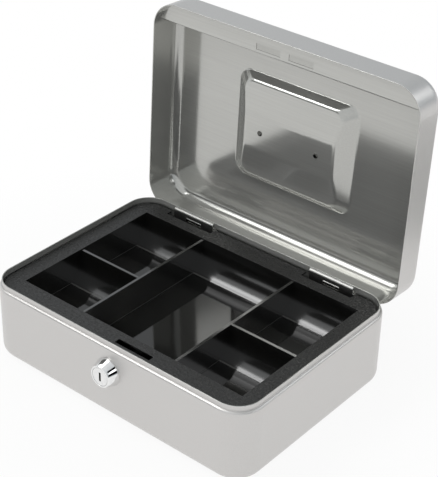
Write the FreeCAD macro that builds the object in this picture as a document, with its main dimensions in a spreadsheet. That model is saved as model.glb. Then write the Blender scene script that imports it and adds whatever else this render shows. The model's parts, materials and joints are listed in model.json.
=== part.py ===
import FreeCAD, Part
import math
import os
import re
import Sketcher
from FreeCAD import Placement, Rotation, Vector

# A steel cash box, 250 x 180 x 93 mm, standing open, with a coin tray and a cam lock.
# Origin at the middle of the underside, +X to the right, +Y to the hinges, +Z up.
# Lid pieces are drawn with the lid shut and then swung about the hinge axis.

doc = FreeCAD.newDocument("cash_box")
dims = doc.addObject("Spreadsheet::Sheet", "dims")

DIMENSIONS = [
    # base pan
    ("box_width", 250.0), ("box_depth", 180.0), ("corner_radius", 22.0), ("gauge", 0.8),
    ("bottom_radius", 9.0), ("shoulder_height", 62.2), ("shoulder_radius", 2.0),
    ("rim_height", 66.4),
    # lid pan and its pressed handle recess
    ("lid_rim", 62.5), ("lid_height", 30.5), ("lid_edge_radius", 9.0), ("lid_angle", 92.6),
    ("recess_length", 113.6), ("recess_width", 91.0), ("recess_corner", 10.0),
    ("recess_depth", 10.4), ("side_flank", 13.8), ("end_flank", 8.9), ("floor_corner", 8.0),
    ("valley_width", 30.0), ("valley_rise", 0.154),
    # catch strip across the front of the lid
    ("strip_height", 69.0), ("strip_edge", 72.0), ("strip_upturn", 5.0), ("strip_lip", 2.4),
    ("strip_bend", 1.4),
    ("catch_slot_length", 23.0), ("catch_slot_width", 5.0), ("catch_slot_y", 77.5),
    ("catch_bridge", 8.0),
    # hinges
    ("hinge_x", 69.5), ("hinge_y", 87.6), ("hinge_z", 58.5), ("hinge_length", 41.0),
    ("knuckle_radius", 2.2), ("knuckle_length", 15.4), ("knuckle_window", 16.4),
    ("knuckle_gap", 0.6), ("hinge_pin_radius", 1.2), ("pin_play", 0.05), ("pin_overhang", 1.0),
    ("leaf_gauge", 1.0), ("bracket_front", 85.1), ("bracket_top", 65.6), ("bracket_bend", 1.9),
    ("bracket_low", 52.0), ("bracket_foot", 44.0), ("leaf_top", 70.5), ("neck_gauge", 0.9),
    ("window_low", 55.9), ("window_high", 61.5), ("window_play", 0.7),
    # coin tray
    ("tray_top", 61.4), ("flange_gauge", 1.6), ("tray_width", 243.0), ("tray_front", 86.4),
    ("tray_rear", 85.1), ("tray_corner", 19.0), ("cup_half_width", 106.7), ("cup_front", 67.6),
    ("cup_rear", 69.2), ("cup_floor", 34.6), ("tray_wall", 2.0), ("divider_x", 45.5),
    ("divider_gauge", 2.4), ("cross_divider_y", -6.0), ("divider_drop", 1.0),
    ("scoop_reach", 13.0), ("scoop_radius", 32.0), ("tray_slot_left", -1.4),
    ("tray_slot_length", 33.2), ("tray_slot_width", 5.0), ("hinge_notch_length", 47.0),
    ("hinge_notch_depth", 6.0),
    # rails that carry the tray
    ("rail_length", 90.0), ("rail_leg", 12.0), ("rail_ledge", 11.2),
    # cam lock
    ("lock_x", 1.5), ("lock_z", 42.0), ("bezel_radius", 11.5), ("bezel_skirt", 1.0),
    ("face_radius", 8.7), ("face_chamfer", 0.4), ("bezel_length", 9.0), ("barrel_radius", 9.3),
    ("barrel_length", 11.0), ("plug_radius", 6.5), ("plug_play", 0.05), ("plug_head_radius", 7.2),
    ("plug_head_drop", 0.2), ("plug_tail", 0.3), ("face_recess", 0.9), ("face_lip_radius", 7.4),
    ("keyhole_width", 1.8), ("keyhole_height", 7.6), ("keyhole_depth", 15.0), ("wafer_width", 5.0),
    ("wafer_gauge", 1.0), ("wafer_pitch", 2.5), ("wafer_window", 2.6), ("first_wafer", 4.5),
    ("groove_play", 0.2), ("groove_depth", 1.5),
    ("tang_side", 6.0), ("cam_gauge", 2.0), ("cam_hub_radius", 6.5), ("hook_inner", 28.5),
    ("hook_outer", 33.5), ("hook_tip_angle", 10.0), ("hook_span", 50.0), ("stem_width", 8.0),
    ("stem_angle", 34.0), ("screw_radius", 1.5), ("screw_head_radius", 3.6), ("screw_crown", 2.5),
    ("screw_length", 6.0), ("screw_head", 2.2), ("screw_edge", 0.9), ("screw_slot_width", 1.4),
    ("screw_slot_depth", 1.1), ("nut_flats", 24.0), ("nut_height", 4.0), ("washer_radius", 12.5),
    ("washer_gauge", 0.8),
    # folding handle
    ("wire_radius", 2.5), ("bail_y", -8.0), ("bail_half_width", 40.0), ("bail_reach", 34.0),
    ("bail_bend", 7.0), ("bail_end", 20.0), ("bail_tilt", 3.5), ("clip_play", 0.08),
    ("clip_gauge", 1.0), ("clip_length", 12.0), ("clip_x", 27.3), ("clip_foot", 9.5),
    ("rivet_radius", 1.6), ("rivet_head_radius", 3.0), ("rivet_crown", 1.8), ("rivet_head", 1.4),
    ("rivet_edge", 0.6), ("rivet_tail_radius", 2.2), ("rivet_tail_crown", 1.3), ("rivet_tail", 0.9),
    ("rivet_tail_edge", 0.4),
]
for row, (alias, size) in enumerate(DIMENSIONS, start=1):
    dims.set(f"A{row}", alias.replace("_", " "))
    dims.set(f"B{row}", str(size))
    dims.setAlias(f"B{row}", alias)
scratch = doc.addObject("Spreadsheet::Sheet", "scratch")
doc.recompute()

UP = Vector(0, 0, 1)
ACROSS = Rotation(Vector(0, 1, 0), 90)  # turns a cylinder's axis to +X


def bound(formula):
    """The formula as an expression: every name in it is a cell of the sheet."""
    return re.sub(r"\b([a-z]\w*)\b(?!\()", r"dims.\1", str(formula))


def number(formula):
    """The formula's value now, worked out in a sheet that nothing else reads."""
    scratch.set("A1", "=" + bound(formula))
    scratch.recompute()
    return float(scratch.get("A1"))


def bind(thing, **formulas):
    """Ties properties of a thing to formulas."""
    for name, formula in formulas.items():
        thing.setExpression(name, bound(formula))


def place(thing, x="0", y="0", z="0", rotation=None):
    """Puts a thing at a point given by formulas, turned by a fixed rotation."""
    thing.Placement = Placement(Vector(number(x), number(y), number(z)), rotation or Rotation())
    for axis, formula in zip("xyz", (x, y, z)):
        thing.setExpression(f"Placement.Base.{axis}", bound(formula))
    return thing


def new_body(name):
    return doc.addObject("PartDesign::Body", name)


def new_sketch(body, plane, offset="0"):
    """A sketch on one of the body's own planes, moved along that plane's normal."""
    sketch = body.newObject("Sketcher::SketchObject", body.Name + "_sketch")
    support = [f for f in body.Origin.OriginFeatures if f.Role == plane][0]
    sketch.AttachmentSupport = [(support, "")]
    sketch.MapMode = "FlatFace"
    sketch.setExpression("AttachmentOffset.Base.z", bound(offset))
    return sketch


def fix_point(sketch, line, end, x, y):
    """Holds a line's end at x, y from the sketch's origin."""
    for kind, formula in (("DistanceX", x), ("DistanceY", y)):
        index = sketch.addConstraint(Sketcher.Constraint(kind, -1, 1, line, end, number(formula)))
        sketch.setExpression(f"Constraints[{index}]", bound(formula))


def arc_middle(start, end, radius, side):
    """The middle of a short arc that bulges to the left (1) or right (-1) of the way along it."""
    chord = end - start
    rise = radius - math.sqrt(radius ** 2 - (chord.Length / 2) ** 2)
    left = Vector(-chord.y, chord.x, 0).normalize()
    return (start + end) * 0.5 + left * (side * rise)


def draw_outline(sketch, points, arcs=None, closed=True):
    """A line through points, straight but for arcs {start index: (radius, side it bulges to)}."""
    arcs = arcs or {}
    spots = [Vector(number(x), number(y), 0) for x, y in points]
    count = len(spots)
    runs = count if closed else count - 1
    for i in range(runs):
        spot, after = spots[i], spots[(i + 1) % count]
        if i in arcs:
            middle = arc_middle(spot, after, number(arcs[i][0]), arcs[i][1])
            sketch.addGeometry(Part.Arc(spot, middle, after), False)
        else:
            sketch.addGeometry(Part.LineSegment(spot, after), False)
    # an arc runs anticlockwise, so its start may be the outline's second point
    first_end = {i: 1 for i in range(runs)}
    for i in arcs:
        start = sketch.getPoint(i, 1)
        first_end[i] = 1 if start.distanceToPoint(spots[i]) < 1e-6 else 2
    for i in range(runs if closed else runs - 1):
        after = (i + 1) % count
        joint = Sketcher.Constraint("Coincident", i, 3 - first_end[i], after, first_end[after])
        sketch.addConstraint(joint)
    for i in range(runs):
        fix_point(sketch, i, first_end[i], *points[i])
    if not closed:
        fix_point(sketch, runs - 1, 3 - first_end[runs - 1], *points[-1])
    for i in arcs:
        radius = sketch.addConstraint(Sketcher.Constraint("Radius", i, number(arcs[i][0])))
        sketch.setExpression(f"Constraints[{radius}]", bound(arcs[i][0]))
    return sketch


def draw_rectangle(sketch, left, low, right, high):
    corners = [(left, low), (right, low), (right, high), (left, high)]
    return draw_outline(sketch, corners)


def draw_circle(sketch, x, y, radius):
    centre = Vector(number(x), number(y), 0)
    sketch.addGeometry(Part.Circle(centre, UP, number(radius)), False)
    fix_point(sketch, 0, 3, x, y)
    size = sketch.addConstraint(Sketcher.Constraint("Radius", 0, number(radius)))
    sketch.setExpression(f"Constraints[{size}]", bound(radius))
    return sketch


def draw_rounded(sketch, width, depth, radius, middle_y="0"):
    """A rectangle with round corners, centred on x = 0 and y = middle_y."""
    half_x, half_y, r, mid = (number(f) for f in (f"({width}) / 2", f"({depth}) / 2", radius, middle_y))
    in_x, in_y = half_x - r, half_y - r
    runs = [
        ((-in_x, -half_y), (in_x, -half_y)), ((half_x, -in_y), (half_x, in_y)),
        ((in_x, half_y), (-in_x, half_y)), ((-half_x, in_y), (-half_x, -in_y)),
    ]
    for (x1, y1), (x2, y2) in runs:
        sketch.addGeometry(Part.LineSegment(Vector(x1, y1 + mid, 0), Vector(x2, y2 + mid, 0)), False)
    for i, (cx, cy) in enumerate([(in_x, -in_y), (in_x, in_y), (-in_x, in_y), (-in_x, -in_y)]):
        start = math.radians(90 * i - 90)
        circle = Part.Circle(Vector(cx, cy + mid, 0), UP, r)
        sketch.addGeometry(Part.ArcOfCircle(circle, start, start + math.pi / 2), False)
    for i in range(4):
        sketch.addConstraint(Sketcher.Constraint("Tangent", i, 2, 4 + i, 1))
        sketch.addConstraint(Sketcher.Constraint("Tangent", 4 + i, 2, (i + 1) % 4, 1))
        sketch.addConstraint(Sketcher.Constraint("Horizontal" if i % 2 == 0 else "Vertical", i))
    for i in range(5, 8):
        sketch.addConstraint(Sketcher.Constraint("Equal", 4, i))
    held = [
        (Sketcher.Constraint("Radius", 4, r), radius),
        (Sketcher.Constraint("DistanceX", -1, 1, 1, 1, half_x), f"({width}) / 2"),
        (Sketcher.Constraint("DistanceX", 3, 1, -1, 1, half_x), f"({width}) / 2"),
        (Sketcher.Constraint("DistanceY", -1, 1, 2, 1, half_y + mid), f"({depth}) / 2 + {middle_y}"),
        (Sketcher.Constraint("DistanceY", 0, 1, 2, 1, 2 * half_y), depth),
    ]
    for constraint, formula in held:
        index = sketch.addConstraint(constraint)
        sketch.setExpression(f"Constraints[{index}]", bound(formula))
    return sketch


def pad(body, sketch, length):
    feature = body.newObject("PartDesign::Pad", body.Name + "_pad")
    feature.Profile = sketch
    bind(feature, Length=length)
    doc.recompute()
    return feature


def pocket(body, sketch, length):
    """Cuts along the sketch plane's normal, and makes sure that something was cut."""
    before = body.Shape.Volume
    feature = body.newObject("PartDesign::Pocket", body.Name + "_pocket")
    feature.Profile = sketch
    feature.Reversed = True
    bind(feature, Length=length)
    doc.recompute()
    if not body.Shape.Volume < before - 1e-6:
        raise RuntimeError(f"{feature.Name} cuts nothing")
    return feature


def round_edges(body, radius, wanted):
    """Rounds the edges of the body's last feature that the test picks."""
    plain = body.Tip
    names = [f"Edge{i}" for i, edge in enumerate(plain.Shape.Edges, start=1) if wanted(edge)]
    feature = body.newObject("PartDesign::Fillet", body.Name + "_fillet")
    feature.Base = (plain, names)
    bind(feature, Radius=radius)
    doc.recompute()
    return feature


def level_at(height):
    """A test for edges that lie flat at a height."""
    z = number(height)
    return lambda edge: abs(edge.BoundBox.ZMin - z) < 1e-4 and abs(edge.BoundBox.ZMax - z) < 1e-4


def pan(name, width, depth, radius, low, high, low_round=None, high_round=None, middle_y="0"):
    """An upright block with round corners, and with its lower and upper edges rounded."""
    body = new_body(name)
    outline = draw_rounded(new_sketch(body, "XY_Plane", low), width, depth, radius, middle_y)
    pad(body, outline, f"({high}) - ({low})")
    if low_round:
        round_edges(body, low_round, level_at(low))
    if high_round:
        round_edges(body, high_round, level_at(high))
    return body


def box(name, low, high):
    """A block between two corners given by formulas."""
    block = doc.addObject("Part::Box", name)
    spans = [f"({b}) - ({a})" for a, b in zip(low, high)]
    bind(block, Length=spans[0], Width=spans[1], Height=spans[2])
    return place(block, *low)


def rod(name, radius, length, x="0", y="0", z="0", rotation=None):
    cylinder = doc.addObject("Part::Cylinder", name)
    bind(cylinder, Radius=radius, Height=length)
    return place(cylinder, x, y, z, rotation)


def combine(kind, name, base, tool):
    joined = doc.addObject("Part::" + kind, name)
    joined.Base = base
    joined.Tool = tool
    return joined


def fuse(name, *pieces):
    joined = doc.addObject("Part::MultiFuse", name)
    joined.Shapes = list(pieces)
    return joined


def group(name, pieces):
    """Like pieces kept apart under one name."""
    together = doc.addObject("Part::Compound", name)
    together.Links = pieces
    return together


nodes = []


def node(thing, label, placement=None):
    """Makes a thing a piece of the box, under its own name."""
    thing.Label = label
    if placement is not None:
        thing.Placement = placement
    nodes.append(thing)
    return thing


def swung_open():
    """From the shut lid to the open one, about the hinge axis."""
    axis_point = Vector(0, number("hinge_y"), number("hinge_z"))
    return Placement(Vector(), Rotation(Vector(1, 0, 0), -number("lid_angle")), axis_point)


def in_the_lock():
    """From a lock piece drawn along +Z, outwards, to its place in the front wall."""
    middle = Vector(number("lock_x"), -number("box_depth / 2"), number("lock_z"))
    return Placement(middle, Rotation(Vector(1, 0, 0), 90))


def base_shell():
    """Drawn steel pan with a rounded shoulder and an upright rim that the lid fits over."""
    rim_inset = "2 * shoulder_radius"
    outside = fuse(
        "base_outside",
        pan("base_outer", "box_width", "box_depth", "corner_radius", "0", "shoulder_height",
            "bottom_radius", "shoulder_radius"),
        pan("rim_outer", f"box_width - {rim_inset}", f"box_depth - {rim_inset}",
            "corner_radius - shoulder_radius", "shoulder_height - gauge", "rim_height"),
    )
    inside = fuse(
        "base_inside",
        pan("base_inner", "box_width - 2 * gauge", "box_depth - 2 * gauge", "corner_radius - gauge",
            "gauge", "shoulder_height - gauge", "bottom_radius - gauge", "shoulder_radius - gauge"),
        pan("rim_inner", f"box_width - {rim_inset} - 2 * gauge", f"box_depth - {rim_inset} - 2 * gauge",
            "corner_radius - shoulder_radius - gauge", "shoulder_height - 2 * gauge",
            "rim_height + gauge"),
    )
    cuts = [inside]
    half = "(hinge_length / 2 + window_play)"
    behind = "box_depth / 2 + gauge"
    for side, x in (("left", "-hinge_x"), ("right", "hinge_x")):
        left, right = f"{x} - {half}", f"{x} + {half}"
        cuts.append(box(f"wall_window_{side}", (left, "hinge_y - gauge", "window_low"),
                        (right, behind, "window_high")))
        cuts.append(box(f"shoulder_window_{side}",
                        (left, "box_depth / 2 - shoulder_radius + pin_play", "window_high - gauge"),
                        (right, behind, "shoulder_height + gauge")))
    cuts.append(rod("lock_hole", "barrel_radius + pin_play", "4 * gauge", "lock_x",
                    "2 * gauge - box_depth / 2", "lock_z", Rotation(Vector(1, 0, 0), 90)))
    return node(combine("Cut", "base_shell", outside, fuse("base_cuts", *cuts)), "base_shell")


def recess_form(name, drop, grow):
    """The handle recess as a block: sloping flanks all round, over a floor with a flat valley."""
    top, low = f"lid_rim + lid_height - {drop}", f"lid_rim + lid_height - recess_depth - {drop}"
    body = new_body(name)
    upper = draw_rounded(new_sketch(body, "XY_Plane", top), f"recess_length + 2 * {grow}",
                         f"recess_width + 2 * {grow}", "recess_corner")
    lower = draw_rounded(new_sketch(body, "XY_Plane", low),
                         f"recess_length - 2 * side_flank + 2 * {grow}",
                         f"recess_width - 2 * end_flank + 2 * {grow}", "floor_corner")
    loft = body.newObject("PartDesign::AdditiveLoft", name + "_flanks")
    loft.Profile = upper
    loft.Sections = [lower]
    loft.Ruled = True
    doc.recompute()
    floor = new_body(name + "_floor")
    wall = "recess_width"
    rise = f"{low} + ({wall} - valley_width / 2) * valley_rise"
    points = [(f"-{wall}", f"{top} + gauge"), (f"-{wall}", rise), ("-valley_width / 2", low),
              ("valley_width / 2", low), (wall, rise), (wall, f"{top} + gauge")]
    profile = draw_outline(new_sketch(floor, "YZ_Plane", "-recess_length"), points)
    pad(floor, profile, "2 * recess_length")
    return combine("Common", name + "_block", body, floor)


def lid_inner(name):
    """The hollow inside the lid, before the handle recess stands into it."""
    return pan(name, "box_width - 2 * gauge", "box_depth - 2 * gauge", "corner_radius - gauge",
               "lid_rim - gauge", "lid_rim + lid_height - gauge", None, "lid_edge_radius - gauge")


def rivet_spots():
    return (("left", "-clip_x"), ("right", "clip_x"))


def lid_shell():
    """Drawn steel lid with the pressed recess for the handle."""
    outer = pan("lid_outer", "box_width", "box_depth", "corner_radius", "lid_rim",
                "lid_rim + lid_height", None, "lid_edge_radius")
    plateau = recess_form("plateau", "gauge", "gauge")
    hollow = combine("Cut", "lid_hollow", lid_inner("lid_inside"), plateau)
    cuts = [hollow, recess_form("recess", "0", "0")]
    for side, x in rivet_spots():
        cuts.append(rod(f"rivet_hole_{side}", "rivet_radius", "4 * gauge", x, "0",
                        "lid_rim + lid_height - recess_depth - 3 * gauge"))
    return node(combine("Cut", "lid_shell", outer, fuse("lid_cuts", *cuts)), "lid_shell", swung_open())


def lid_catch_strip():
    """Shelf across the front of the lid, its free edge turned up, with slots for the lock's hook."""
    top = "strip_height + strip_upturn"
    half = "box_width / 2"
    region = box("strip_region", (f"-{half}", "-box_depth / 2", "strip_height"),
                 (half, "-strip_edge", top))
    blank = combine("Common", "strip_blank", lid_inner("strip_outside"), region)
    above = pan("strip_above", "box_width - 4 * gauge", "box_depth - 4 * gauge",
                "corner_radius - 2 * gauge", "strip_height + gauge", f"{top} + gauge")
    lip = box("strip_lip_block", (f"-{half}", "-strip_edge - gauge", "strip_height"),
              (half, "-strip_edge + gauge", "strip_height + strip_lip"))
    bend_y, bend_z = "-strip_edge - strip_bend", "strip_height + strip_bend"
    corner = box("strip_corner", (f"-{half}", bend_y, "strip_height"), (half, "-strip_edge", bend_z))
    bend = rod("strip_bend_round", "strip_bend", "box_width", f"-{half}", bend_y, bend_z, ACROSS)
    cuts = [combine("Cut", "strip_hollow", above, lip), combine("Cut", "strip_rounding", corner, bend)]
    for side, x in (("left", "-catch_bridge / 2 - catch_slot_length"), ("right", "catch_bridge / 2")):
        low = (x, "-catch_slot_y - catch_slot_width / 2", "strip_height - gauge")
        high = (f"{x} + catch_slot_length", "-catch_slot_y + catch_slot_width / 2", top)
        cuts.append(box(f"catch_slot_{side}", low, high))
    strip = combine("Cut", "lid_catch_strip", blank, fuse("strip_cuts", *cuts))
    return node(strip, "lid_catch_strip", swung_open())


def hinge(side, x):
    """Bracket inside the rear wall, pin, and the leaf on the lid with the middle knuckle."""
    half = "hinge_length / 2"
    wall = "box_depth / 2 - gauge"
    lip = "box_depth / 2 - shoulder_radius - gauge"
    left, right = f"{x} - {half}", f"{x} + {half}"
    plate = new_body(f"bracket_plate_{side}")
    front, back = "bracket_front", "bracket_front + leaf_gauge"
    bend, under = "bracket_front + bracket_bend", "bracket_top - leaf_gauge"
    points = [(front, "bracket_low"), (back, "bracket_low"), (back, "bracket_top - bracket_bend"),
              (bend, under), (lip, under), (lip, "bracket_top"), (bend, "bracket_top"),
              (front, "bracket_top - bracket_bend")]
    arcs = {2: ("bracket_bend - leaf_gauge", 1), 6: ("bracket_bend", -1)}
    pad(plate, draw_outline(new_sketch(plate, "YZ_Plane", left), points, arcs), "hinge_length")
    blank = fuse(
        f"bracket_blank_{side}",
        plate,
        box(f"bracket_foot_{side}", (left, f"{wall} - leaf_gauge", "bracket_foot"),
            (right, wall, "hinge_z - leaf_gauge")),
        rod(f"bracket_knuckle_{side}", "knuckle_radius", "hinge_length", left, "hinge_y", "hinge_z",
            ACROSS),
    )
    middle = "knuckle_window / 2"
    cuts = fuse(
        f"bracket_cuts_{side}",
        rod(f"bracket_bore_{side}", "hinge_pin_radius", "hinge_length", left, "hinge_y", "hinge_z",
            ACROSS),
        box(f"bracket_window_{side}", (f"{x} - {middle}", f"{front} - gauge", "window_low - gauge"),
            (f"{x} + {middle}", "box_depth / 2", "hinge_z + knuckle_radius + knuckle_gap")),
    )
    node(combine("Cut", f"bracket_{side}", blank, cuts), f"hinge_bracket_{side}")
    pin = rod(f"pin_{side}", "hinge_pin_radius", "hinge_length + 2 * pin_overhang",
              f"{left} - pin_overhang", "hinge_y", "hinge_z", ACROSS)
    node(pin, f"hinge_pin_{side}")
    short = "knuckle_length / 2"
    leaf_blank = fuse(
        f"leaf_blank_{side}",
        box(f"leaf_plate_{side}", (left, f"{wall} - neck_gauge", "lid_rim + gauge"),
            (right, wall, "leaf_top")),
        box(f"leaf_neck_{side}", (f"{x} - {short}", f"{wall} - neck_gauge", "hinge_z"),
            (f"{x} + {short}", wall, "lid_rim + 2 * gauge")),
        rod(f"leaf_knuckle_{side}", "knuckle_radius", "knuckle_length", f"{x} - {short}", "hinge_y",
            "hinge_z", ACROSS),
    )
    bore = rod(f"leaf_bore_{side}", "hinge_pin_radius + pin_play", "hinge_length", left, "hinge_y",
               "hinge_z", ACROSS)
    leaf = combine("Cut", f"leaf_{side}", leaf_blank, bore)
    node(leaf, f"lid_hinge_leaf_{side}", swung_open())


def coin_tray():
    """Moulded tray: a flange over five flat-bottomed cups, each with a scooped rear wall."""
    body = new_body("coin_tray_body")
    flange_low = "tray_top - flange_gauge"
    flange = draw_rounded(new_sketch(body, "XY_Plane", flange_low), "tray_width",
                          "tray_front + tray_rear", "tray_corner", "(tray_rear - tray_front) / 2")
    pad(body, flange, "flange_gauge")
    bottom = "cup_floor - tray_wall"
    cups = new_sketch(body, "XY_Plane", bottom)
    draw_rounded(cups, "2 * cup_half_width + 2 * tray_wall", "cup_front + cup_rear + 2 * tray_wall",
                 "3 * tray_wall", "(cup_rear - cup_front) / 2")
    pad(body, cups, f"{flange_low} - ({bottom})")
    round_edges(body, "2 * tray_wall", level_at(bottom))
    half = "divider_gauge / 2"
    outer, inner = "cup_half_width", f"divider_x + {half}"
    middle = f"divider_x - {half}"
    before, behind = f"cross_divider_y - {half}", f"cross_divider_y + {half}"
    compartments = [(f"-({middle})", middle, "-cup_front", "cup_rear")]
    for left, right in ((f"-{outer}", f"-({inner})"), (inner, outer)):
        compartments.append((left, right, "-cup_front", before))
        compartments.append((left, right, behind, "cup_rear"))
    above = "tray_top + gauge"
    for left, right, front, rear in compartments:
        points = [(front, "cup_floor"), (f"{rear} - scoop_reach", "cup_floor"),
                  (rear, "tray_top - divider_drop"), (rear, above), (front, above)]
        side_view = draw_outline(new_sketch(body, "YZ_Plane", left), points, {1: ("scoop_radius", -1)})
        pocket(body, side_view, f"({right}) - ({left})")
    tops = [(f"-({inner})", f"-({middle})", "-cup_front", "cup_rear"),
            (middle, inner, "-cup_front", "cup_rear"),
            (f"-{outer}", f"-({inner})", before, behind), (inner, outer, before, behind)]
    for left, right, front, rear in tops:
        top_view = draw_rectangle(new_sketch(body, "XY_Plane", "tray_top - divider_drop"),
                                  left, front, right, rear)
        pocket(body, top_view, "2 * divider_drop")
    slot_rear = "-catch_slot_y + tray_slot_width / 2"
    slot = draw_rectangle(new_sketch(body, "XY_Plane", flange_low), "tray_slot_left",
                          f"{slot_rear} - tray_slot_width", "tray_slot_left + tray_slot_length", slot_rear)
    pocket(body, slot, "2 * flange_gauge")
    for x in ("-hinge_x", "hinge_x"):
        reach = "hinge_notch_length / 2"
        notch = draw_rectangle(new_sketch(body, "XY_Plane", flange_low), f"{x} - {reach}",
                               "tray_rear - hinge_notch_depth", f"{x} + {reach}", "tray_rear + gauge")
        pocket(body, notch, "2 * flange_gauge")
    return node(body, "coin_tray")


def tray_rail(side, sign):
    """Angle on the side wall that the tray's flange rests on."""
    top = "tray_top - flange_gauge"
    wall = "(box_width / 2 - gauge)"
    low_x, high_x = (f"-{wall}", f"-{wall} + gauge") if sign < 0 else (f"{wall} - gauge", wall)
    out_x, in_x = (f"-{wall}", f"-{wall} + rail_ledge") if sign < 0 else (f"{wall} - rail_ledge", wall)
    upright = box(f"rail_upright_{side}", (low_x, "-rail_length / 2", f"{top} - rail_leg"),
                  (high_x, "rail_length / 2", top))
    ledge = box(f"rail_ledge_{side}", (out_x, "-rail_length / 2", f"{top} - gauge"),
                (in_x, "rail_length / 2", top))
    return node(fuse(f"rail_{side}", upright, ledge), f"tray_rail_{side}")


def turned(name, points):
    """A body of revolution about +Z, from its half section in x and z."""
    body = new_body(name)
    section = draw_outline(new_sketch(body, "XZ_Plane"), points)
    spin = body.newObject("PartDesign::Revolution", name + "_turn")
    spin.Profile = section
    spin.ReferenceAxis = (section, ["V_Axis"])
    spin.Angle = 360
    doc.recompute()
    return body


def wafer_levels():
    """Heights of the wafers along the plug, the outermost first."""
    return [f"first_wafer - {i} * wafer_pitch" for i in range(4)]


def lock_housing():
    """Conical bezel and threaded barrel in one piece, bored for the plug, with a groove for the wafers."""
    bore = "plug_radius + plug_play"
    seat = "bezel_length - face_recess"
    profile = [(bore, "-barrel_length"), ("barrel_radius", "-barrel_length"), ("barrel_radius", "0"),
               ("bezel_radius", "0"), ("bezel_radius", "bezel_skirt"),
               ("face_radius", "bezel_length - face_chamfer"),
               ("face_radius - face_chamfer", "bezel_length"), ("face_lip_radius", "bezel_length"),
               ("face_lip_radius", seat), (bore, seat)]
    half = "(wafer_width / 2 + groove_play)"
    innermost = wafer_levels()[-1]
    groove = box("wafer_groove", (f"-{half}", "-plug_radius - groove_depth", f"{innermost} - wafer_pitch"),
                 (half, "0", "first_wafer + 2 * wafer_gauge"))
    housing = combine("Cut", "housing", turned("housing_blank", profile), groove)
    return node(housing, "lock_housing", in_the_lock())


def lock_plug():
    """Plug that the key turns, with a keyhole, wafer slots and a square tang for the cam."""
    seat = "bezel_length - face_recess + plug_play"
    tail, face = "-barrel_length - plug_tail", "bezel_length - plug_head_drop"
    profile = [("0", tail), ("plug_radius", tail), ("plug_radius", seat), ("plug_head_radius", seat),
               ("plug_head_radius", face), ("0", face)]
    half = "tang_side / 2"
    tang = box("plug_tang", (f"-{half}", f"-{half}", f"{tail} - cam_gauge"), (half, half, "0"))
    key = ("keyhole_width / 2", "keyhole_height / 2")
    cuts = [
        box("keyhole", (f"-{key[0]}", f"-{key[1]}", "bezel_length - keyhole_depth"),
            (key[0], key[1], "bezel_length")),
        rod("screw_hole", "screw_radius", "screw_length + cam_gauge", "0", "0", f"{tail} - cam_gauge"),
    ]
    side = "(wafer_width / 2 + plug_play)"
    for i, level in enumerate(wafer_levels()):
        cuts.append(box(f"wafer_slot_{i}", (f"-{side}", "-2 * plug_radius", f"{level} - plug_play"),
                        (side, "2 * plug_radius", f"{level} + wafer_gauge + plug_play")))
    blank = fuse("plug_blank", turned("plug_turned", profile), tang)
    return node(combine("Cut", "plug", blank, fuse("plug_cuts", *cuts)), "lock_plug", in_the_lock())


def lock_wafers():
    """Flat wafers in the plug, drawn back as a key holds them."""
    wafers = []
    window = "wafer_window / 2"
    for i, level in enumerate(wafer_levels()):
        blank = box(f"wafer_blank_{i}", ("-wafer_width / 2", "-plug_radius", level),
                    ("wafer_width / 2", "plug_radius", f"{level} + wafer_gauge"))
        disc = rod(f"wafer_disc_{i}", "plug_radius - plug_play", "wafer_gauge", "0", "0", level)
        opening = box(f"wafer_window_{i}", (f"-{window}", "-keyhole_height / 2 - wafer_gauge", level),
                      (window, "keyhole_height / 2 + wafer_gauge", f"{level} + wafer_gauge"))
        plate = combine("Common", f"wafer_plate_{i}", blank, disc)
        wafers.append(combine("Cut", f"wafer_{i}", plate, opening))
    return node(group("wafers", wafers), "lock_wafers", in_the_lock())


def lock_cam():
    """Sickle-shaped cam: turned up, its hook reaches over the bridge of the catch strip."""
    base = "-barrel_length - plug_tail - cam_gauge"
    start = "hook_tip_angle - hook_span"
    outer = rod("hook_outside", "hook_outer", "cam_gauge", "0", "0", base, Rotation(UP, number(start)))
    bind(outer, Angle="hook_span")
    inner = rod("hook_inside", "hook_inner", "cam_gauge", "0", "0", base)
    ring = combine("Cut", "hook_ring", outer, inner)
    stem = doc.addObject("Part::Box", "cam_stem")
    bind(stem, Length="(hook_inner + hook_outer) / 2", Width="stem_width", Height="cam_gauge")
    place(stem, "-stem_width / 2 * sin(stem_angle)", "-stem_width / 2 * cos(stem_angle)", base,
          Rotation(UP, -number("stem_angle")))
    hub = rod("cam_hub", "cam_hub_radius", "cam_gauge", "0", "0", base)
    half_tang = "(tang_side / 2 + plug_play)"
    hole = box("cam_hole", (f"-{half_tang}", f"-{half_tang}", f"{base} - cam_gauge"),
               (half_tang, half_tang, "0"))
    cam = combine("Cut", "cam", fuse("cam_blank", ring, stem, hub), hole)
    return node(cam, "lock_cam", in_the_lock())


def cam_screw():
    """Pan-head screw that holds the cam on the plug's tang."""
    seat = "-barrel_length - plug_tail - cam_gauge"
    crown = f"{seat} - screw_head"
    profile = [("0", crown), ("screw_crown", crown), ("screw_head_radius", f"{seat} - screw_edge"),
               ("screw_head_radius", seat), ("screw_radius", seat),
               ("screw_radius", f"{seat} + screw_length"), ("0", f"{seat} + screw_length")]
    half = "screw_slot_width / 2"
    slot = box("screw_slot", ("-screw_head_radius", f"-{half}", f"{crown} - screw_slot_depth"),
               ("screw_head_radius", half, f"{crown} + screw_slot_depth"))
    screw = combine("Cut", "screw", turned("screw_turned", profile), slot)
    return node(screw, "cam_screw", in_the_lock())


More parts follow.
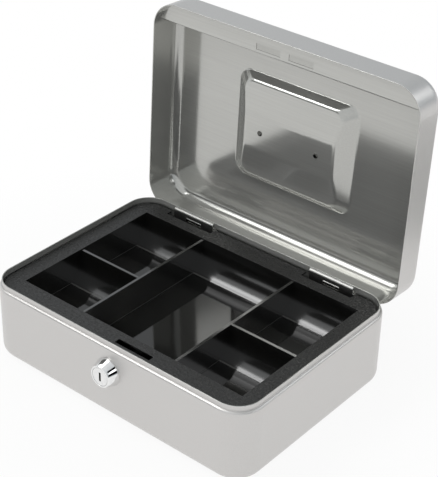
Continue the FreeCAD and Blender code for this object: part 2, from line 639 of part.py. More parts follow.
def lock_nut_and_washer():
    """Hexagon nut and washer that clamp the housing to the front wall from inside."""
    washer_low = "-gauge - washer_gauge"
    disc = rod("washer_disc", "washer_radius", "washer_gauge", "0", "0", washer_low)
    hole = rod("washer_hole", "barrel_radius + plug_play", "washer_gauge", "0", "0", washer_low)
    node(combine("Cut", "washer", disc, hole), "lock_washer", in_the_lock())
    low = f"{washer_low} - nut_height"
    prism = doc.addObject("Part::Prism", "nut_prism")
    prism.Polygon = 6
    bind(prism, Circumradius="nut_flats / sqrt(3)", Height="nut_height")
    place(prism, "0", "0", low)
    nut = combine("Cut", "nut", prism, rod("nut_hole", "barrel_radius", "nut_height", "0", "0", low))
    node(nut, "lock_nut", in_the_lock())


def bail_axis_height():
    return "lid_rim + lid_height - recess_depth + wire_radius + clip_play"


def handle_bail():
    """Bent wire handle lying in the recess, its ends turned in under the clips."""
    body = new_body("bail")
    inset, far = "bail_half_width - bail_bend", "bail_reach - bail_bend"
    half = [("bail_end", "0"), (inset, "0"), ("bail_half_width", "bail_bend"), ("bail_half_width", far),
            (inset, "bail_reach")]
    mirrored = [(f"-({x})", y) for x, y in reversed(half)]
    bends = {i: ("bail_bend", -1) for i in (1, 3, 5, 7)}
    path = draw_outline(new_sketch(body, "XY_Plane"), half + mirrored, bends, closed=False)
    section = draw_circle(new_sketch(body, "YZ_Plane", "bail_end"), "0", "0", "wire_radius")
    pipe = body.newObject("PartDesign::AdditivePipe", "bail_pipe")
    pipe.Profile = section
    pipe.Spine = path
    doc.recompute()
    pivot = Placement(Vector(0, number("bail_y"), number(bail_axis_height())),
                      Rotation(Vector(1, 0, 0), number("bail_tilt")))
    return node(body, "handle_bail", swung_open().multiply(pivot))


def handle_clip(side, x):
    """Saddle clip over one end of the handle, with a foot for its rivet."""
    axis, floor = bail_axis_height(), "lid_rim + lid_height - recess_depth"
    left, right = f"{x} - clip_length / 2", f"{x} + clip_length / 2"
    inside = "(wire_radius + clip_play)"
    outside = f"({inside} + clip_gauge)"
    blank = fuse(
        f"clip_blank_{side}",
        rod(f"clip_arch_{side}", outside, "clip_length", left, "bail_y", axis, ACROSS),
        box(f"clip_legs_{side}", (left, f"bail_y - {outside}", floor),
            (right, f"bail_y + {outside}", axis)),
        box(f"clip_foot_{side}", (left, f"bail_y - {outside} - 2 * clip_gauge", floor),
            (right, f"bail_y + {outside} + clip_foot", f"{floor} + clip_gauge")),
    )
    tunnel = fuse(
        f"clip_tunnel_{side}",
        rod(f"clip_bore_{side}", inside, "clip_length", left, "bail_y", axis, ACROSS),
        box(f"clip_gap_{side}", (left, f"bail_y - {inside}", f"{floor} - 2 * clip_gauge"),
            (right, f"bail_y + {inside}", axis)),
        rod(f"clip_hole_{side}", "rivet_radius", "2 * clip_gauge", x, "0", floor),
    )
    return node(combine("Cut", f"clip_{side}", blank, tunnel), f"handle_clip_{side}", swung_open())


def handle_rivets():
    """Rivets through the clips' feet and the recess floor, upset inside the lid."""
    floor = "lid_rim + lid_height - recess_depth"
    rivets = []
    for side, x in rivet_spots():
        head, under = f"{floor} + clip_gauge", f"{floor} - gauge"
        dome = turned(f"rivet_{side}", [
            ("0", f"{under} - rivet_tail"), ("rivet_tail_crown", f"{under} - rivet_tail"),
            ("rivet_tail_radius", f"{under} - rivet_tail_edge"), ("rivet_tail_radius", under),
            ("rivet_radius", under), ("rivet_radius", head), ("rivet_head_radius", head),
            ("rivet_head_radius", f"{head} + rivet_edge"), ("rivet_crown", f"{head} + rivet_head"),
            ("0", f"{head} + rivet_head")])
        rivets.append(place(dome, x))
    return node(group("rivets", rivets), "handle_rivets", swung_open())


base_shell()
tray_rail("left", -1)
tray_rail("right", 1)
coin_tray()
lid_shell()
lid_catch_strip()
hinge("left", "-hinge_x")
hinge("right", "hinge_x")
handle_bail()
for clip_side, clip_at in rivet_spots():
    handle_clip(clip_side, clip_at)
handle_rivets()
lock_housing()
lock_nut_and_washer()
lock_plug()
lock_wafers()
lock_cam()
cam_screw()
doc.recompute()

for thing in doc.Objects:
    if {"Invalid", "Error"} & set(thing.State):
        raise RuntimeError(f"{thing.Name} did not build: {thing.State}")
for piece in nodes:
    if piece.Shape.isNull() or not piece.Shape.isValid():
        raise RuntimeError(f"{piece.Label} has no valid shape")

os.makedirs("parts", exist_ok=True)
for piece in nodes:
    piece.Shape.exportStep(f"parts/{piece.Label}.step")
    size = piece.Shape.BoundBox
    low, high = (size.XMin, size.YMin, size.ZMin), (size.XMax, size.YMax, size.ZMax)
    print(f"{piece.Label:24s} solids {len(piece.Shape.Solids)} volume {piece.Shape.Volume:10.1f}",
          "from", *(f"{edge:7.1f}" for edge in low), "to", *(f"{edge:7.1f}" for edge in high))
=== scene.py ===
import json
import math

import bmesh
import bpy
import numpy as np
from mathutils import Matrix, Vector


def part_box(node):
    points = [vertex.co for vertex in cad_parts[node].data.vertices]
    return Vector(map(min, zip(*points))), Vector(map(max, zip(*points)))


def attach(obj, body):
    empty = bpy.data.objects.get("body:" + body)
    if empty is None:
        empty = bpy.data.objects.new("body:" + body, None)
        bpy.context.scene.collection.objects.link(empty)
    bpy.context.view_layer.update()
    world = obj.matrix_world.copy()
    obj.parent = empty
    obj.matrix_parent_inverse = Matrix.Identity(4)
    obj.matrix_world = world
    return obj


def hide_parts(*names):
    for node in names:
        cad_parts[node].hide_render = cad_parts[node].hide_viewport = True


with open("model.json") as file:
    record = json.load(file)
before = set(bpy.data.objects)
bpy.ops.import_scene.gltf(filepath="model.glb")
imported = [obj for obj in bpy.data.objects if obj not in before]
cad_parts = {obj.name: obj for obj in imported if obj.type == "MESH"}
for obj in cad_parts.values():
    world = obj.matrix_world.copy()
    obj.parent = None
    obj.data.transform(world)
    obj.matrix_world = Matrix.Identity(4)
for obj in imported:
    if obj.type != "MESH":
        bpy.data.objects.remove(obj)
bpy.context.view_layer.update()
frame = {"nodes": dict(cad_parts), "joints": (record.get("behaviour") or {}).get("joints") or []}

# A steel cash box standing open: silver outside, bare steel inside, black coin tray.
# Shapes are worked out in millimetres and scaled once, when they go into a mesh.
mm = 0.001
joints = {joint["name"]: joint for joint in frame["joints"]}


def hexColour(code):
    # sRGB hex to linear: the low toe is a straight line, the rest a 2.4 power
    srgb = np.array([int(code[i:i + 2], 16) for i in (1, 3, 5)]) / 255
    linear = np.where(srgb <= 0.04045, srgb / 12.92, ((srgb + 0.055) / 1.055) ** 2.4)
    return (*linear.tolist(), 1.0)


def addNode(tree, kind, settings=None, links=None):
    # settings go to properties or sockets by name or number, links bring other nodes' outputs
    node = tree.nodes.new(kind)
    for name, value in (settings or {}).items():
        if isinstance(name, int) or name in node.inputs:
            node.inputs[name].default_value = value
        else:
            setattr(node, name, value)
    for name, output in (links or {}).items():
        tree.links.new(output, node.inputs[name])
    return node


def newMaterial(name):
    material = bpy.data.materials.new(name)
    material.use_nodes = True
    material.node_tree.nodes.clear()
    return material, material.node_tree


def perMetre(sizeMm):
    # scale of a pattern whose grain is this many millimetres wide
    return 1 / (sizeMm * mm)


# Finishes

toneSpread = (0.3, 0.7)  # plain noise seldom leaves this range

silverLacquerLook = {"dark": "#C8C6C4", "light": "#D0CECC", "flakeMm": 0.5, "peelMm": 4.0, "peelDeepMm": 0.2,
                     "peelStrength": 0.06, "metallic": 0.9, "roughness": 0.38, "coat": 0.2,
                     "coatRoughness": 0.22}


def silverLacquer():
    # sprayed aluminium-flake lacquer: an even silver with a faint grain and a soft sheen
    look = silverLacquerLook
    material, tree = newMaterial("silverLacquer")
    place = addNode(tree, "ShaderNodeTexCoord").outputs["Object"]
    flake = addNode(tree, "ShaderNodeTexNoise", {"Scale": perMetre(look["flakeMm"]), "Detail": 2.0},
                    {"Vector": place})
    tone = addNode(tree, "ShaderNodeValToRGB", links={"Fac": flake.outputs["Fac"]})
    for stop, share, shade in zip(tone.color_ramp.elements, toneSpread, ("dark", "light")):
        stop.position, stop.color = share, hexColour(look[shade])
    peel = addNode(tree, "ShaderNodeTexNoise", {"Scale": perMetre(look["peelMm"]), "Detail": 1.0},
                   {"Vector": place})
    bump = addNode(tree, "ShaderNodeBump", {"Strength": look["peelStrength"],
                                            "Distance": look["peelDeepMm"] * mm},
                   {"Height": peel.outputs["Fac"]})
    skin = addNode(tree, "ShaderNodeBsdfPrincipled",
                   {"Metallic": look["metallic"], "Roughness": look["roughness"], "Coat Weight": look["coat"],
                    "Coat Roughness": look["coatRoughness"]},
                   {"Base Color": tone.outputs["Color"], "Normal": bump.outputs["Normal"]})
    addNode(tree, "ShaderNodeOutputMaterial", links={"Surface": skin.outputs["BSDF"]})
    return material


bareSteelLook = {"dark": "#B6B6B2", "light": "#BEBEBA", "streakLongMm": 60.0, "streakWideMm": 0.9,
                 "streakDeepMm": 0.1, "streakStrength": 0.015, "metallic": 0.66, "smooth": 0.10, "rough": 0.15}


def bareSteel():
    # rolled sheet left bare: a blurred mirror drawn out along the rolling marks; it is set less than
    # fully metallic, so that the darkest reflections stay grey
    look = bareSteelLook
    material, tree = newMaterial("bareSteel")
    place = addNode(tree, "ShaderNodeTexCoord").outputs["Object"]
    along = perMetre(look["streakLongMm"])
    across = perMetre(look["streakWideMm"])
    stretched = addNode(tree, "ShaderNodeMapping", {"Scale": (along, across, across)}, {"Vector": place})
    streak = addNode(tree, "ShaderNodeTexNoise", {"Scale": 1.0, "Detail": 3.0},
                     {"Vector": stretched.outputs["Vector"]})
    tone = addNode(tree, "ShaderNodeValToRGB", links={"Fac": streak.outputs["Fac"]})
    for stop, share, shade in zip(tone.color_ramp.elements, toneSpread, ("dark", "light")):
        stop.position, stop.color = share, hexColour(look[shade])
    blur = addNode(tree, "ShaderNodeMapRange", {"To Min": look["smooth"], "To Max": look["rough"]},
                   {"Value": streak.outputs["Fac"]})
    bump = addNode(tree, "ShaderNodeBump", {"Strength": look["streakStrength"],
                                            "Distance": look["streakDeepMm"] * mm},
                   {"Height": streak.outputs["Fac"]})
    skin = addNode(tree, "ShaderNodeBsdfPrincipled", {"Metallic": look["metallic"]},
                   {"Base Color": tone.outputs["Color"], "Roughness": blur.outputs["Result"],
                    "Normal": bump.outputs["Normal"]})
    addNode(tree, "ShaderNodeOutputMaterial", links={"Surface": skin.outputs["BSDF"]})
    return material


# the root band's light colour is a painted highlight where the cup floors meet the walls
blackTrayLook = {"colour": "#111110", "ior": 1.6, "coatIor": 1.55,
                 "floorTop": 34.8, "wallFrom": 36.5, "flangeFrom": 61.3, "flangeTo": 61.38,
                 "floorRoughness": 0.05, "wallRoughness": 0.15, "flangeRoughness": 0.46,
                 "rootHighlightFrom": 34.62, "rootHighlightTo": 35.6, "rootHighlightColour": "#4A4A48", "rootHighlightShares": (0.05, 0.6),
                 "grainMm": 1.8, "grainDeepMm": 0.45, "grainSpread": (0.35, 0.65), "pitting": 0.24}


def blackTray():
    # moulded black polystyrene: mirror-like cup floors, polished walls with a painted highlight, a thin light
    # line along their roots, and a grained flange; the grain is drawn coarser than the real one so that it
    # shows
    look = blackTrayLook
    material, tree = newMaterial("blackTray")
    place = addNode(tree, "ShaderNodeTexCoord").outputs["Object"]
    height = addNode(tree, "ShaderNodeSeparateXYZ", links={"Vector": place}).outputs["Z"]
    onWall, onFlange, onRootHighlight = (
        addNode(tree, "ShaderNodeMapRange", {"From Min": look[low] * mm, "From Max": look[high] * mm},
                {"Value": height}).outputs["Result"]
        for low, high in (("floorTop", "wallFrom"), ("flangeFrom", "flangeTo"), ("rootHighlightFrom", "rootHighlightTo")))
    grain = addNode(tree, "ShaderNodeTexNoise", {"Scale": perMetre(look["grainMm"]), "Detail": 2.0},
                    {"Vector": place})
    pits = addNode(tree, "ShaderNodeMapRange", {"From Min": look["grainSpread"][0],
                                                "From Max": look["grainSpread"][1],
                                                "To Min": look["flangeRoughness"] + look["pitting"],
                                                "To Max": look["flangeRoughness"] - look["pitting"]},
                   {"Value": grain.outputs["Fac"]})
    cupBlur = addNode(tree, "ShaderNodeMapRange", {"To Min": look["floorRoughness"],
                                                   "To Max": look["wallRoughness"]}, {"Value": onWall})
    blur = addNode(tree, "ShaderNodeMapRange", links={"Value": onFlange, "To Min": cupBlur.outputs["Result"],
                                                      "To Max": pits.outputs["Result"]})
    polish = addNode(tree, "ShaderNodeMath", {"operation": "SUBTRACT"}, {0: onWall, 1: onFlange})
    # painted highlight: a thin light band at the foot of each wall stands in for light caught by a small
    # fillet there
    tone = addNode(tree, "ShaderNodeValToRGB", links={"Fac": onRootHighlight})
    for stop in tone.color_ramp.elements:
        stop.color = hexColour(look["colour"])
    for share in look["rootHighlightShares"]:
        tone.color_ramp.elements.new(share).color = hexColour(look["rootHighlightColour"])
    bump = addNode(tree, "ShaderNodeBump", {"Distance": look["grainDeepMm"] * mm},
                   {"Height": grain.outputs["Fac"], "Strength": onFlange})
    skin = addNode(tree, "ShaderNodeBsdfPrincipled",
                   {"IOR": look["ior"], "Coat IOR": look["coatIor"], "Coat Roughness": look["wallRoughness"]},
                   {"Base Color": tone.outputs["Color"], "Roughness": blur.outputs["Result"],
                    "Normal": bump.outputs["Normal"], "Coat Weight": polish.outputs[0]})
    addNode(tree, "ShaderNodeOutputMaterial", links={"Surface": skin.outputs["BSDF"]})
    return material


platedLooks = {
    "zinc_steel": {"name": "zincPlate", "dark": "#ADADAB", "light": "#BEBEBB", "patchMm": 1.5,
                   "smooth": 0.3, "rough": 0.4},  # faint clouding
    "bright_zinc": {"name": "brightZinc", "dark": "#B4B4B1", "light": "#C8C8C5", "patchMm": 1.5,
                    "smooth": 0.06, "rough": 0.12},  # rubbed bright
    # painted shade: the rivets are drawn dark to stand in for the shade in their hollow ends; the glints come
    # from the low roughness
    "rivet_painted_shade": {"name": "rivetPaintedShade", "dark": "#4E4E4B", "light": "#686864", "patchMm": 1.0,
                    "smooth": 0.08, "rough": 0.16},  # dark, with glints
    "chrome_plate": {"name": "chromePlate", "dark": "#E2E2E2", "light": "#EDEDEC", "patchMm": 3.0,
                     "smooth": 0.03, "rough": 0.06},  # near a mirror
    "brass": {"name": "stampedBrass", "dark": "#A08A46", "light": "#BFA75C", "patchMm": 1.0,
              "smooth": 0.2, "rough": 0.34},  # warm, finely scuffed
}


def platedMetal(look):
    # plated or stamped metal, or steel drawn dark as painted shade: its colour and gloss drift in small
    # patches
    material, tree = newMaterial(look["name"])
    place = addNode(tree, "ShaderNodeTexCoord").outputs["Object"]
    patch = addNode(tree, "ShaderNodeTexNoise", {"Scale": perMetre(look["patchMm"]), "Detail": 3.0},
                    {"Vector": place})
    tone = addNode(tree, "ShaderNodeValToRGB", links={"Fac": patch.outputs["Fac"]})
    for stop, share, shade in zip(tone.color_ramp.elements, toneSpread, ("dark", "light")):
        stop.position, stop.color = share, hexColour(look[shade])
    blur = addNode(tree, "ShaderNodeMapRange", {"To Min": look["smooth"], "To Max": look["rough"]},
                   {"Value": patch.outputs["Fac"]})
    skin = addNode(tree, "ShaderNodeBsdfPrincipled", {"Metallic": 1.0},
                   {"Base Color": tone.outputs["Color"], "Roughness": blur.outputs["Result"]})
    addNode(tree, "ShaderNodeOutputMaterial", links={"Surface": skin.outputs["BSDF"]})
    return material


finishes = {"silver_paint": silverLacquer(), "bare_steel": bareSteel(), "tray_plastic": blackTray()}
for platedName, platedLook in platedLooks.items():
    finishes[platedName] = platedMetal(platedLook)
print("finishes made:", len(finishes))


# Mesh making

def roundedRings(halfX, halfY, radius, longRun, shortRun, cornerSteps):
    # rounded rectangles, one for each row of sizes, anticlockwise from the right side:
    # straight runs at shares of their half length, and quarter arcs from 0 to 90 degrees
    halfX, halfY, radius = (np.asarray(size, float)[:, None] for size in (halfX, halfY, radius))
    inX, inY = halfX - radius, halfY - radius
    turn = np.linspace(0, math.pi / 2, cornerSteps + 1)[None, :]
    long, short = np.asarray(longRun)[None, :], np.asarray(shortRun)[None, :]
    cosine, sine = radius * np.cos(turn), radius * np.sin(turn)
    x = [halfX + 0 * short, inX + cosine, -inX * long, -inX - sine,
         -halfX + 0 * short, -inX - cosine, inX * long, inX + sine]
    y = [inY * short, inY + sine, halfY + 0 * long, inY + cosine,
         -inY * short, -inY - sine, -halfY + 0 * long, -inY - cosine]
    return np.concatenate(x, axis=1), np.concatenate(y, axis=1)


def gridFaces(rows, columns):
    # quads between neighbouring rows, with the last column joined to the first
    row, column = np.meshgrid(np.arange(rows - 1), np.arange(columns), indexing="ij")
    after = (column + 1) % columns
    corners = [row * columns + column, row * columns + after,
               (row + 1) * columns + after, (row + 1) * columns + column]
    return np.stack(corners, axis=-1)


def smoothMin(a, b, reach):
    # the smaller of two heights, with the corner between them rounded over the reach
    near = np.maximum(reach - np.abs(a - b), 0) / reach
    return np.minimum(a, b) - near ** 2 * reach / 4


def runShares(halfLength, support, count):
    # places along a straight run: even shares, and one close to each end to keep the flats flat
    even = np.linspace(-1, 1, count + 2)[1:-1]
    edge = 1 - support / halfLength
    return np.sort(np.concatenate([even[np.abs(even) < edge - 1e-6], [-edge, edge]]))


def makePiece(name, points, faces, skins, body, nodes):
    mesh = bpy.data.meshes.new(name)
    mesh.from_pydata((np.asarray(points).reshape(-1, 3) * mm).tolist(), [], faces)
    mesh.polygons.foreach_set("use_smooth", np.ones(len(mesh.polygons), dtype=bool))
    for skin in skins:
        mesh.materials.append(finishes[skin])
    piece = bpy.data.objects.new(name, mesh)
    bpy.context.scene.collection.objects.link(piece)
    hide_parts(*nodes)
    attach(piece, body)
    return piece


def thicken(piece, gauge, edge, innerSkin):
    # sheet metal: the wall grows inwards, and its cut edges are eased
    wall = piece.modifiers.new("wall", "SOLIDIFY")
    wall.thickness = gauge * mm
    wall.offset = -1
    wall.use_even_offset = True
    wall.material_offset = innerSkin
    wall.material_offset_rim = innerSkin
    easeEdges(piece, edge, "ANGLE")


easing = {"angle": math.radians(35), "segments": 2, "weight": 60}  # edges sharper than the angle are eased


def easeEdges(piece, edge, limit):
    bevel = piece.modifiers.new("eased", "BEVEL")
    bevel.width = edge * mm
    bevel.segments = easing["segments"]
    bevel.limit_method = limit
    bevel.angle_limit = easing["angle"]
    bevel.use_clamp_overlap = True
    shading = piece.modifiers.new("shading", "WEIGHTED_NORMAL")
    shading.mode = "FACE_AREA"
    shading.weight = easing["weight"]
    shading.keep_sharp = True


# Base

baseForm = {"corner": 22.0, "bottomRadius": 9.0, "shoulder": 62.2, "shoulderRadius": 2.0, "gauge": 0.8,
            "windowLow": 55.9, "windowHalf": 21.2, "hingeX": 69.5, "support": 0.5, "edge": 0.18,
            "midWall": 30.0, "bottomSteps": 15, "shoulderSteps": 9, "longCount": 15, "shortCount": 11,
            "cornerSteps": 14}


def makeBase():
    # a profile of inset and height carried round a rounded rectangle: underside, bottom radius,
    # wall, quarter-round shoulder and rim, with the hinge windows left out of the rear wall
    form = baseForm
    halfX, halfY, top = np.array(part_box("base_shell")[1]) / mm
    support, bottom, shoulder = form["support"], form["bottomRadius"], form["shoulderRadius"]
    turn = np.linspace(0, math.pi / 2, form["bottomSteps"])
    bend = np.linspace(0, math.pi / 2, form["shoulderSteps"])
    shoulderStart = form["shoulder"] - shoulder
    wall = np.array([bottom + support, form["midWall"], form["windowLow"], shoulderStart - support])
    rim = np.array([form["shoulder"] + support, top - support, top])
    inset = np.concatenate([[bottom + support], bottom * (1 - np.sin(turn)), 0 * wall,
                            shoulder * (1 - np.cos(bend)), shoulder + 0 * rim])
    level = np.concatenate([[0], bottom * (1 - np.cos(turn)), wall,
                            shoulderStart + shoulder * np.sin(bend), rim])
    straight = halfX - form["corner"]
    windowEdges = np.array([form["hingeX"] - form["windowHalf"], form["hingeX"] + form["windowHalf"]])
    longRun = np.union1d(runShares(straight, support, form["longCount"]),
                         np.concatenate([-windowEdges, windowEdges]) / straight)
    shortRun = runShares(halfY - form["corner"], support, form["shortCount"])
    x, y = roundedRings(halfX - inset, halfY - inset, form["corner"] - inset, longRun, shortRun,
                        form["cornerSteps"])
    points = np.stack([x, y, level[:, None] + 0 * x], axis=-1)
    faces = gridFaces(*x.shape)
    middle = points.reshape(-1, 3)[faces].mean(axis=2)
    inWindow = ((np.abs(np.abs(middle[..., 0]) - form["hingeX"]) < form["windowHalf"])
                & (middle[..., 1] > halfY - shoulder - support)
                & (middle[..., 2] > form["windowLow"]) & (middle[..., 2] < form["shoulder"]))
    underside = [list(range(x.shape[1]))[::-1]]
    base = makePiece("baseShell", points, faces[~inWindow].tolist() + underside,
                     ["silver_paint", "bare_steel"], "base", ["base_shell"])
    thicken(base, form["gauge"], form["edge"], 1)


# Lid

lidForm = {"corner": 22.0, "rim": 62.5, "height": 30.5, "edgeRadius": 9.0, "gauge": 0.8, "edge": 0.18,
           "support": 0.5, "recessHalfX": 56.8, "recessHalfY": 45.5, "recessCorner": 10.0, "floorCorner": 8.0,
           "recessDepth": 10.4, "sideFlank": 13.8, "endFlank": 8.9, "valleyHalf": 15.0, "valleyRise": 0.154,
           "pressRadius": 1.0, "floorRadius": 1.2, "creaseRadius": 0.8, "wallLevels": (6.0, 14.0),
           "edgeSteps": 17, "flankShares": (-0.3, 1.25), "flankSteps": 44, "panelSteps": 8, "floorSteps": 16,
           "floorHole": 0.03, "runCount": 31, "cornerSteps": 12}


def lidOpening():
    # turn about the hinge axis from the shut lid to the lid at rest
    joint = joints["lid_hinge"]
    pivot = np.array(joint["pos_m"]) / mm
    angle = math.radians(joint["range_deg"][0])
    turn = np.array(Matrix.Rotation(angle, 3, "X"))
    return pivot, turn


def swingOpen(points):
    pivot, turn = lidOpening()
    return (points - pivot) @ turn.T + pivot


def makeLid():
    # a profile carried round a rounded rectangle: rim, wall, edge radius, flat panel, then the
    # handle recess, whose depth is the smaller of a sloping flank and a floor with a flat valley
    form = lidForm
    halfX, halfY = np.array(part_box("base_shell")[1][:2]) / mm
    support, radius = form["support"], form["edgeRadius"]
    top = form["rim"] + form["height"]
    turn = np.linspace(0, math.pi / 2, form["edgeSteps"])
    wall = np.array([0, support, *form["wallLevels"], form["height"] - radius - support]) + form["rim"]
    inset = np.concatenate([0 * wall, radius * (1 - np.cos(turn)), [radius + support]])
    level = np.concatenate([wall, top - radius + radius * np.sin(turn), [top]])
    flank = np.linspace(*form["flankShares"], form["flankSteps"])
    panelShare = np.linspace(0, 1, form["panelSteps"])[1:-1]
    shrink = np.linspace(1, form["floorHole"], form["floorSteps"])[1:]
    flankX = form["recessHalfX"] - form["sideFlank"] * flank
    flankY = form["recessHalfY"] - form["endFlank"] * flank
    flankCorner = form["recessCorner"] + (form["floorCorner"] - form["recessCorner"]) * flank
    wallX, wallY, wallCorner = halfX - inset, halfY - inset, form["corner"] - inset
    sizes = []
    for outer, inner in ((wallX, flankX), (wallY, flankY), (wallCorner, flankCorner)):
        panel = outer[-1] + (inner[0] - outer[-1]) * panelShare
        sizes.append(np.concatenate([outer, panel, inner, inner[-1] * shrink]))
    longRun = runShares(halfX - form["corner"], support, form["runCount"])
    shortRun = runShares(halfY - form["corner"], support, form["runCount"])
    x, y = roundedRings(*sizes, longRun, shortRun, form["cornerSteps"])
    slope = np.concatenate([-1 + 0 * wallX, -1 + 0 * panelShare, flank, 2 + 0 * shrink])[:, None]
    ramp = -smoothMin(0 * slope, -form["recessDepth"] * slope, form["pressRadius"])
    climb = -smoothMin(0 * y, form["valleyHalf"] - np.abs(y), form["creaseRadius"])
    depth = smoothMin(ramp + 0 * y, form["recessDepth"] - form["valleyRise"] * climb, form["floorRadius"])
    z = top - np.maximum(depth, 0)
    z[:len(level)] = level[:, None]
    points = swingOpen(np.stack([x, y, z], axis=-1))
    faces = gridFaces(*x.shape)
    last = (x.shape[0] - 1) * x.shape[1]
    floorCap = [list(range(last, last + x.shape[1]))]
    lid = makePiece("lidShell", points, faces.reshape(-1, 4).tolist() + floorCap,
                    ["silver_paint", "bare_steel"], "lid", ["lid_shell"])
    thicken(lid, form["gauge"], form["edge"], 1)


# Folding handle

bailForm = {"wire": 2.5, "halfWidth": 40.0, "reach": 34.0, "bend": 7.0, "end": 20.0, "tilt": 3.5,
            "chamfer": 0.5, "sides": 32, "bendSteps": 13}


def makeBail():
    # a circle carried along a flat bent path: two turned-in ends, two legs and a grip
    form = bailForm
    bend, wide, far = form["bend"], form["halfWidth"], form["reach"]
    turn = np.linspace(0, math.pi / 2, form["bendSteps"])
    start = np.array([[form["end"], 0], [form["end"] + form["chamfer"], 0]])
    nearArc = np.stack([wide - bend + bend * np.sin(turn), bend - bend * np.cos(turn)], axis=-1)
    farArc = np.stack([wide - bend + bend * np.cos(turn), far - bend + bend * np.sin(turn)], axis=-1)
    half = np.concatenate([start, nearArc, farArc])
    path = np.concatenate([half, half[::-1] * [-1, 1]])
    along = np.gradient(path, axis=0)
    along /= np.linalg.norm(along, axis=1, keepdims=True)
    sideways = np.stack([-along[:, 1], along[:, 0]], axis=-1)
    radius = np.full(len(path), form["wire"])
    radius[[0, -1]] -= form["chamfer"]
    angle = np.linspace(0, 2 * math.pi, form["sides"], endpoint=False)
    flat = path[:, None, :] + (radius[:, None] * np.cos(angle))[..., None] * sideways[:, None, :]
    points = np.concatenate([flat, (radius[:, None] * np.sin(angle))[..., None]], axis=-1)
    tilt = np.array(Matrix.Rotation(math.radians(form["tilt"]), 3, "X"))
    pivot = np.array(joints["handle_swing"]["pos_m"]) / mm
    points = points @ tilt.T @ lidOpening()[1].T + pivot
    sides, last = form["sides"], (len(path) - 1) * form["sides"]
    caps = [list(range(sides))[::-1], list(range(last, last + sides))]
    faces = gridFaces(len(path), sides).reshape(-1, 4).tolist() + caps
    makePiece("handleBail", points, faces, ["chrome_plate"], "handle", ["handle_bail"])


# Lock

lockForm = {"bore": 6.55, "barrel": 9.3, "barrelLength": 11.0, "bezel": 11.5, "skirt": 1.0, "face": 8.7,
            "length": 9.0, "lip": 7.4, "recess": 0.9, "sides": 128, "grooveHalf": 2.7, "grooveDeep": 8.0,
            "grooveFront": 6.5, "grooveRear": -5.5, "grooveEase": 0.1, "arcSteps": 5,
            "roundings": (0.2, 0.3, 0.1, 0.1, 0.35, 0.45, 0.3, 0.15, 0.1)}  # in the order of the corners


def roundCorners(corners, radii, steps):
    # a closed outline whose corners become arcs, as quadratic curves through the corner's two tangents
    corners, radii = np.asarray(corners, float), np.asarray(radii, float)[:, None]
    before, after = np.roll(corners, 1, axis=0) - corners, np.roll(corners, -1, axis=0) - corners
    before /= np.linalg.norm(before, axis=1, keepdims=True)
    after /= np.linalg.norm(after, axis=1, keepdims=True)
    share = np.linspace(0, 1, steps)[None, :, None]
    start, end = (corners + radii * before)[:, None], (corners + radii * after)[:, None]
    curve = (1 - share) ** 2 * start + 2 * share * (1 - share) * corners[:, None] + share ** 2 * end
    return curve.reshape(-1, 2)


def makeHousing():
    # a half section of radius and reach turned about the lock's axis: bore, barrel, cone and lip;
    # the groove under the bore is a slot of even width with a flat bed, as a radius at each angle
    form = lockForm
    seat = form["length"] - form["recess"]
    back = -form["barrelLength"]
    corners = [(form["bore"], back), (form["barrel"], back), (form["barrel"], 0), (form["bezel"], 0),
               (form["bezel"], form["skirt"]), (form["face"], form["length"]), (form["lip"], form["length"]),
               (form["lip"], seat), (form["bore"], seat)]
    section = roundCorners(corners, form["roundings"], form["arcSteps"])
    angle = np.linspace(0, 2 * math.pi, form["sides"], endpoint=False)
    below, aside = np.maximum(-np.sin(angle), 1e-6), np.maximum(np.abs(np.cos(angle)), 1e-6)
    slot = np.minimum(form["grooveDeep"] / below, form["grooveHalf"] / aside)
    bore = form["bore"] + 0 * angle
    groove = np.where(np.sin(angle) < 0, np.maximum(slot, bore), bore)
    front, rear, ease = form["grooveFront"], form["grooveRear"], form["grooveEase"]
    radius = np.concatenate([section[:, :1] + 0 * angle, [bore, groove, groove, bore]])
    reach = np.concatenate([section[:, 1:], [[front], [front - ease], [rear + ease], [rear]]])
    centre = np.array(joints["key_turn"]["pos_m"]) / mm
    points = np.stack([radius * np.cos(angle), -reach + 0 * angle, radius * np.sin(angle)], axis=-1) + centre
    rings = len(points)
    faces = gridFaces(rings + 1, form["sides"]) % (rings * form["sides"])  # the last ring meets the first
    makePiece("lockHousing", points, faces.reshape(-1, 4).tolist(), ["chrome_plate"], "base",
              ["lock_housing"])


makeBase()
print("base made")
makeLid()
print("lid made")
makeBail()
makeHousing()
print("handle and lock housing made")


# Pieces that keep the solid's own shape, with eased edges

keptPieces = {  # body, finish and width of the eased edges
    "coin_tray": ("tray", "tray_plastic", 0.7),
    "lid_catch_strip": ("lid", "bare_steel", 0.2),
    "hinge_bracket_left": ("base", "zinc_steel", 0.3),
    "hinge_bracket_right": ("base", "zinc_steel", 0.3),
    "hinge_pin_left": ("base", "bright_zinc", 0.2),
    "hinge_pin_right": ("base", "bright_zinc", 0.2),
    "lid_hinge_leaf_left": ("lid", "bright_zinc", 0.25),
    "lid_hinge_leaf_right": ("lid", "bright_zinc", 0.25),
    "tray_rail_left": ("base", "zinc_steel", 0.2),
    "tray_rail_right": ("base", "zinc_steel", 0.2),
    "handle_clip_left": ("lid", "chrome_plate", 0.25),
    "handle_clip_right": ("lid", "chrome_plate", 0.25),
    # the rivets take the dark finish that is painted shade for their hollow ends
    "handle_rivets": ("lid", "rivet_painted_shade", 0.2),
    "lock_plug": ("plug", "chrome_plate", 0.15),
    "lock_cam": ("plug", "zinc_steel", 0.2),
    "cam_screw": ("plug", "zinc_steel", 0.15),
    "lock_nut": ("base", "zinc_steel", 0.4),
    "lock_washer": ("base", "zinc_steel", 0.15),
    "lock_wafers": ("wafers", "brass", 0.08),
}
flatAngle = math.radians(0.3)  # faces closer than this lie in one plane
mergeReach = 0.002  # corners closer than this many millimetres are one


